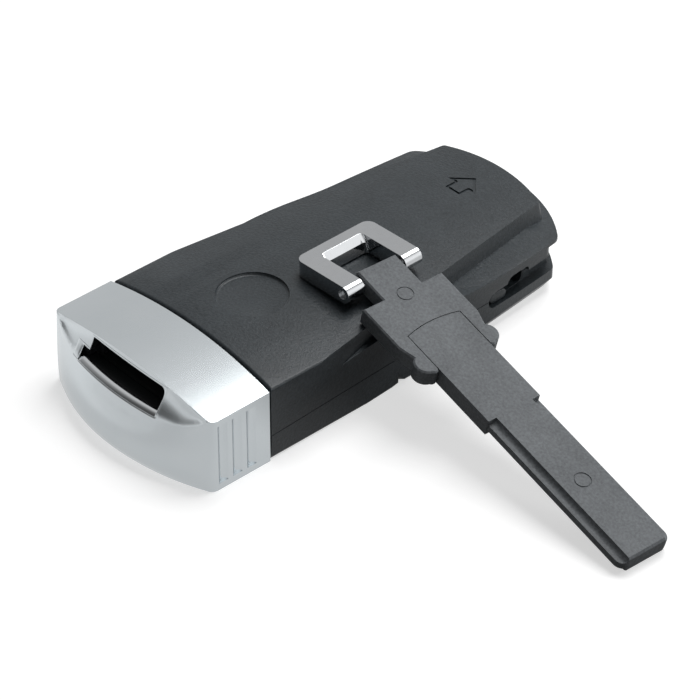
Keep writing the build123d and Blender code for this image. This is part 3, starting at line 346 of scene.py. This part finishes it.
def merged(node, name, material, reshape=None):
    """Copy of a CAD node as a new smooth piece, its loose triangles merged to whole faces."""
    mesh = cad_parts[node].data.copy()
    piece = bpy.data.objects.new(name, mesh)
    bpy.context.scene.collection.objects.link(piece)
    work = bmesh.new()
    work.from_mesh(mesh)
    bmesh.ops.remove_doubles(work, verts=work.verts, dist=MERGE_DISTANCE)
    bmesh.ops.dissolve_limit(work, angle_limit=math.radians(FLAT_ANGLE), verts=work.verts,
                             edges=work.edges)
    if reshape:
        reshape(work)
    work.to_mesh(mesh)
    work.free()
    if "custom_normal" in mesh.attributes:
        mesh.attributes.remove(mesh.attributes["custom_normal"])
    smooth(mesh)
    wear(piece, material)
    return piece


def softened(node, body, material, edge_mm, reshape=None):
    """Copy of a CAD node with its sharp edges rounded."""
    piece = merged(node, node + "_moulded", material, reshape)
    bevel = piece.modifiers.new("edges", "BEVEL")
    bevel.width = edge_mm * MM
    bevel.segments = EDGE_SEGMENTS
    bevel.limit_method = "ANGLE"
    bevel.angle_limit = math.radians(EDGE_ANGLE)
    bevel.harden_normals = True
    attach(piece, body)
    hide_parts(node)
    return piece


def paint_slot_shade(piece):
    """Paints the walls inside the slot near-black: painted shade of the slot's inside."""
    piece.data.materials.append(SLOT_SHADE_BLACK)
    for face in piece.data.polygons:
        x, y, z = face.center / MM
        inside = SLOT_SHADE_X[0] < x < SLOT_SHADE_X[1] and y > SLOT_SHADE_Y and SLOT_SHADE_Z[0] < z < SLOT_SHADE_Z[1]
        if inside and (abs(face.normal.x) > UPRIGHT_WALL or abs(face.normal.z) > LEVEL_WALL):
            face.material_index = 1


def add_surface(name, points, body, material, closed=False):
    """Piece from a grid of points in mm, rows by columns by xyz, with quads between neighbours. A
    closed one is a tube whose columns go round it, with a face over its first row and its last."""
    rows, columns = points.shape[:2]
    number = np.arange(rows * columns).reshape(rows, columns)
    if closed:
        number = np.hstack((number, number[:, :1]))
    quads = np.stack((number[:-1, :-1], number[:-1, 1:], number[1:, 1:], number[1:, :-1]), -1)
    faces = quads.reshape(-1, 4).tolist()
    if closed:
        faces += [number[0, columns - 1::-1].tolist(), number[-1, :columns].tolist()]
    mesh = bpy.data.meshes.new(name)
    mesh.from_pydata((points.reshape(-1, 3) * MM).tolist(), [], faces)
    work = bmesh.new()
    work.from_mesh(mesh)
    bmesh.ops.remove_doubles(work, verts=work.verts, dist=SEAM_DISTANCE)
    work.to_mesh(mesh)
    work.free()
    smooth(mesh)
    piece = bpy.data.objects.new(name, mesh)
    bpy.context.scene.collection.objects.link(piece)
    mesh.materials.append(material)
    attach(piece, body)
    return piece


def slot_lip():
    """Lip of the slot: a rounded ramp carried along the front's arc, in mm. At share t of its
    depth it has risen by 0.75 sin(pi/2 min(1.3 t, 1)), and at its very back it drops again."""
    x = np.linspace(*LIP_X, LIP_POINTS[0])[:, None]
    share = np.linspace(0, 1, LIP_POINTS[1])[None, :]
    rise = LIP_RISE * np.sin(np.pi / 2 * np.clip(share * LIP_QUICK, 0, 1))
    rise = np.where(share > LIP_BACK, LIP_BACK_RISE, rise)
    end = np.clip((x - LIP_LEFT) / LIP_END, 0.0, 1.0)
    height = LIP_Z + rise * np.sqrt(1 - (1 - end) ** 2)
    y = front_y(x, LIP_Z + 0 * share) - LIP_PROUD + LIP_DEPTH * share
    return np.stack((x + 0 * share, y, height), -1)[:, ::-1]


def slot_rim():
    """Skin round the slot's mouth, in mm: a shell between the mouth's outline, whose corners are
    quadratic curves, and a line just outside the cap's own opening, laid on front_y."""
    # x, z and how much of each side the rounding takes
    corners = [(-10.4, 9.8, 0.0), (-10.4, 12.0, 0.25), (-8.72, 12.0, 0.15), (-8.72, 14.0, 0.3),
               (8.62, 14.0, 1.3), (8.62, 9.8, 0.0)]
    outer = [(-11.9, 9.8), (-11.9, 12.3), (-8.95, 12.3), (-8.95, 14.3), (8.95, 14.3), (8.95, 9.8)]
    inside, outside = [], []
    for i, (cx, cz, radius) in enumerate(corners):
        here = np.array((cx, cz))
        if radius == 0:
            inside.append(here)
            outside.append(outer[i])
            continue
        before = np.array(corners[i - 1][:2]) - here
        after = np.array(corners[i + 1][:2]) - here
        start = here + before / np.hypot(*before) * radius
        end = here + after / np.hypot(*after) * radius
        for t in np.linspace(0, 1, RIM_CURVE_STEPS):
            inside.append((1 - t) ** 2 * start + 2 * t * (1 - t) * here + t * t * end)
            outside.append(outer[i])
    steps = np.arange(len(inside))
    fine = np.linspace(0, len(inside) - 1, RIM_FINENESS * len(inside))
    inside, outside = [
        np.stack([np.interp(fine, steps, line[:, k]) for k in (0, 1)], -1)[:, None]
        for line in (np.array(inside, float), np.array(outside, float))]
    # From the mouth outwards over the front, then back inside the cap
    across = np.array([0, 0.04, 0.35, 0.7, 0.97, 1, 1, 0.5, 0])[None, :, None]
    depth = np.array([RIM_EDGE, 0, 0, 0, 0, RIM_EDGE, RIM_DEPTH, RIM_DEPTH, RIM_DEPTH])[None, :]
    flat = inside * (1 - across) + outside * across
    x, z = flat[..., 0], flat[..., 1]
    return np.stack((x, front_y(x, z) - RIM_PROUD + depth, z), -1)[:, ::-1]


def groove_pad(side):
    """Pad in the side groove, in mm: an upright stadium of two half circles, whose rows run from
    the middle of its face over a rounded edge and back to the groove's wall."""
    share = np.array([0.3, 0.75, 0.9, 0.97, 1.0, 1.0])[:, None]
    stand = np.array([17.2, 17.2, 17.17, 17.07, 16.9, 15.9])[:, None]
    turn = np.linspace(0, 2 * np.pi, PAD_POINTS + 1)[None, :-1] + np.pi / PAD_POINTS
    y = PAD_Y + PAD_HALF_SPAN * np.sign(np.cos(turn)) + PAD_RADIUS * share * np.cos(turn)
    z = PAD_Z + PAD_RADIUS * share * np.sin(turn)
    points = np.stack((side * (stand + 0 * turn), y, z), -1)
    return points[:, ::-1] if side > 0 else points


end_cap = softened("end_cap", "fob", SATIN_CHROME, CAP_EDGE, reshape=scoop_front)
# The slot's inner walls get painted shade: a near-black material.
paint_slot_shade(end_cap)
add_surface("slot_lip", slot_lip(), "fob", POLISHED_CHROME)
add_surface("slot_rim", slot_rim(), "fob", SATIN_CHROME, closed=True)
for side, name in ((1, "right_groove_pad"), (-1, "left_groove_pad")):
    add_surface(name, groove_pad(side), "fob", BLACK_ABS, closed=True)

softened("back_cover", "fob", BLACK_ABS, SHELL_EDGE)
softened("front_cover", "fob", BLACK_ABS, SHELL_EDGE)
softened("key_holder", "fob", SINTERED_STEEL, KEY_EDGE)
softened("key_blade", "fob", SINTERED_STEEL, KEY_EDGE)
softened("bail", "bail", BRIGHT_CHROME, BAIL_EDGE, reshape=slant_bar)

# The catch's spring shortens towards the cap's wall as the catch slides in; here it is only copied,
# on the fob, with a mesh of its own.
spring = merged("catch_spring", "catch_spring_wound", SPRING_STEEL)
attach(spring, "fob")
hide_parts("catch_spring")
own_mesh(spring)

# The other nodes stay as they are and only get their material.
finishes = {
    BLACK_NYLON: ["key_sleeve"],
    DARK_ACETAL: ["release_catch"],
    PIN_STEEL: ["bail_pin"],
    BUTTON_RUBBER: ["lock_button", "unlock_button", "boot_button"],
    MAT_RUBBER: ["button_mat"],
    SOLDER_MASK: ["circuit_board"],
    CHIP_EPOXY: ["processor", "radio_chip"],
    CRYSTAL_CAN: ["crystal"],
    COIL_WIRE: ["transponder_coil"],
    SWITCH_PLASTIC: ["lock_switch", "unlock_switch", "boot_switch"],
    LAMP_RESIN: ["lamp"],
    LIGHT_PIPE: ["light_pipe"],
    CELL_STEEL: ["coin_cell"],
    TINNED_STEEL: ["cell_contact", "cell_clip"],
}
for material, nodes in finishes.items():
    for node in nodes:
        for material_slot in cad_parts[node].material_slots:
            material_slot.material = material


def add_camera():
    """Long lens at the place and angle of the photograph."""
    azimuth, elevation = math.radians(CAMERA_AZIMUTH), math.radians(CAMERA_ELEVATION)
    back = Vector((
        math.sin(azimuth) * math.cos(elevation),
        -math.cos(azimuth) * math.cos(elevation),
        math.sin(elevation),
    ))
    level = Vector((math.cos(azimuth), math.sin(azimuth), 0))
    right = Matrix.Rotation(math.radians(CAMERA_ROLL), 3, back) @ level
    up = back.cross(right)
    lens = bpy.data.cameras.new("camera")
    lens.lens = LENS_PIXELS / IMAGE_WIDTH * SENSOR_WIDTH
    lens.sensor_width = SENSOR_WIDTH
    lens.clip_start = CAMERA_NEAR
    camera = bpy.data.objects.new("camera", lens)
    bpy.context.scene.collection.objects.link(camera)
    axes = Matrix((right, up, back)).transposed().to_4x4()
    camera.matrix_world = Matrix.Translation(CAMERA_PLACE) @ axes
    bpy.context.scene.camera = camera


def add_lamp(name, place, size, watts):
    """Square area lamp at a place, facing the part."""
    light = bpy.data.lights.new(name, "AREA")
    light.shape = "SQUARE"
    light.size = size
    light.energy = watts
    lamp = bpy.data.objects.new(name, light)
    bpy.context.scene.collection.objects.link(lamp)
    facing = (Vector(place) - Vector(LAMP_AIM)).to_track_quat("Z", "Y")
    lamp.matrix_world = Matrix.Translation(place) @ facing.to_matrix().to_4x4()


bpy.context.scene.view_settings.view_transform = "Standard"
add_camera()
for name, (place, size, watts) in LAMPS.items():
    add_lamp(name, place, size, watts)

world = bpy.data.worlds.new("studio")
sky = empty_tree(world)
path = add_node(sky, "ShaderNodeLightPath")
seen = add_node(sky, "ShaderNodeMath", {"operation": "MAXIMUM"},
                {0: path.outputs["Is Glossy Ray"], 1: path.outputs["Is Transmission Ray"]})
heading = add_node(sky, "ShaderNodeSeparateXYZ", inputs={
    0: add_node(sky, "ShaderNodeTexCoord").outputs["Generated"]})
# The studio's walls are lit, brightest at the horizon, and its front above the camera is dim.
wall = add_node(sky, "ShaderNodeMapRange", inputs={
    "Value": heading.outputs["Z"], "From Min": 0.0, "From Max": 0.35, "To Min": 1.25,
    "To Max": 0.72})
front = add_node(sky, "ShaderNodeMapRange", inputs={
    "Value": heading.outputs["Y"], "From Min": -0.2, "From Max": -0.6})
above = add_node(sky, "ShaderNodeMapRange", inputs={
    "Value": heading.outputs["Z"], "From Min": 0.0, "From Max": 0.2, "To Max": -0.62})
dim = add_node(sky, "ShaderNodeMath", {"operation": "MULTIPLY_ADD"},
               {0: front.outputs[0], 1: above.outputs[0], 2: wall.outputs[0]})
# A window on the right, seen only in reflections.
right = add_node(sky, "ShaderNodeMapRange", inputs={
    "Value": heading.outputs["X"], "From Min": 0.35, "From Max": 0.6, "To Max": 0.9})
high = add_node(sky, "ShaderNodeMapRange", inputs={
    "Value": heading.outputs["Z"], "From Min": 0.05, "From Max": 0.3})
window = add_node(sky, "ShaderNodeMath", {"operation": "MULTIPLY_ADD"},
                  {0: right.outputs[0], 1: high.outputs[0], 2: dim.outputs[0]})
level = add_node(sky, "ShaderNodeMix", {"data_type": "FLOAT"},
                 {0: seen.outputs[0], 2: ROOM_LEVEL, 3: window.outputs[0]})
background = add_node(sky, "ShaderNodeBackground", inputs={
    "Strength": level.outputs[0], "Color": hex_colour("#ffffff")})
add_node(sky, "ShaderNodeOutputWorld", inputs={"Surface": background.outputs[0]})
bpy.context.scene.world = world

# White paper sweep: matt, and lifted to white where the camera or a reflection sees it.
paper = bpy.data.materials.new("white_paper_sweep")
sheet = empty_tree(paper)
path = add_node(sheet, "ShaderNodeLightPath")
place = add_node(sheet, "ShaderNodeSeparateXYZ", inputs={
    0: add_node(sheet, "ShaderNodeTexCoord").outputs["Object"]})
# It throws more light back at the fob's far end than beside the emergency key.
far_end = add_node(sheet, "ShaderNodeMapRange", inputs={
    "Value": place.outputs["Y"], "From Min": 0.01, "From Max": 0.03, "To Max": 0.7})
bright = add_node(sheet, "ShaderNodeMath", {"operation": "MAXIMUM"},
                  {0: path.outputs["Is Camera Ray"], 1: far_end.outputs[0]})
paper_colour = add_node(sheet, "ShaderNodeMix", {"data_type": "RGBA"},
                        {0: bright.outputs[0], 6: hex_colour("#5c5c5c"), 7: hex_colour("#cccccc")})
matt = add_node(sheet, "ShaderNodeBsdfDiffuse", inputs={"Color": paper_colour.outputs[2]})
# In a reflection the sweep is brighter behind the object than in front of it,
behind = add_node(sheet, "ShaderNodeMapRange", inputs={
    "Value": place.outputs["Y"], "From Min": -0.2, "From Max": -0.02, "To Min": 0.45,
    "To Max": 0.8})
# dark where it lies in the black shell's shade,
shade = add_node(sheet, "ShaderNodeMapRange", inputs={
    "Value": place.outputs["Y"], "From Min": -0.022, "From Max": -0.004, "To Min": 1.0,
    "To Max": 0.3})
shade = add_node(sheet, "ShaderNodeMath", {"operation": "MAXIMUM"},
                 {0: shade.outputs[0], 1: far_end.outputs[0]})
# and a little brighter on the left.
left = add_node(sheet, "ShaderNodeMapRange", inputs={
    "Value": place.outputs["X"], "From Min": -0.02, "From Max": -0.035, "To Max": 0.3})
reflected = add_node(sheet, "ShaderNodeMath", {"operation": "MULTIPLY_ADD"},
                     {0: behind.outputs[0], 1: shade.outputs[0], 2: left.outputs[0]})
mirrored = add_node(sheet, "ShaderNodeMath", {"operation": "MAXIMUM"},
                    {0: path.outputs["Is Glossy Ray"], 1: path.outputs["Is Transmission Ray"]})
direct = add_node(sheet, "ShaderNodeMath", {"operation": "MULTIPLY"},
                  {0: path.outputs["Is Camera Ray"], 1: SWEEP_LIFT})
lift = add_node(sheet, "ShaderNodeMath", {"operation": "MULTIPLY_ADD"},
                {0: mirrored.outputs[0], 1: reflected.outputs[0], 2: direct.outputs[0]})
glow = add_node(sheet, "ShaderNodeEmission", inputs={
    "Strength": lift.outputs[0], "Color": hex_colour("#ffffff")})
both = add_node(sheet, "ShaderNodeAddShader", inputs={0: matt.outputs[0], 1: glow.outputs[0]})
add_node(sheet, "ShaderNodeOutputMaterial", inputs={"Surface": both.outputs[0]})

bpy.ops.mesh.primitive_plane_add(size=SWEEP_SIZE, location=(0, 0, -SWEEP_DROP * MM))
floor = bpy.context.active_object
floor.name = "floor"
floor.data.materials.append(paper)
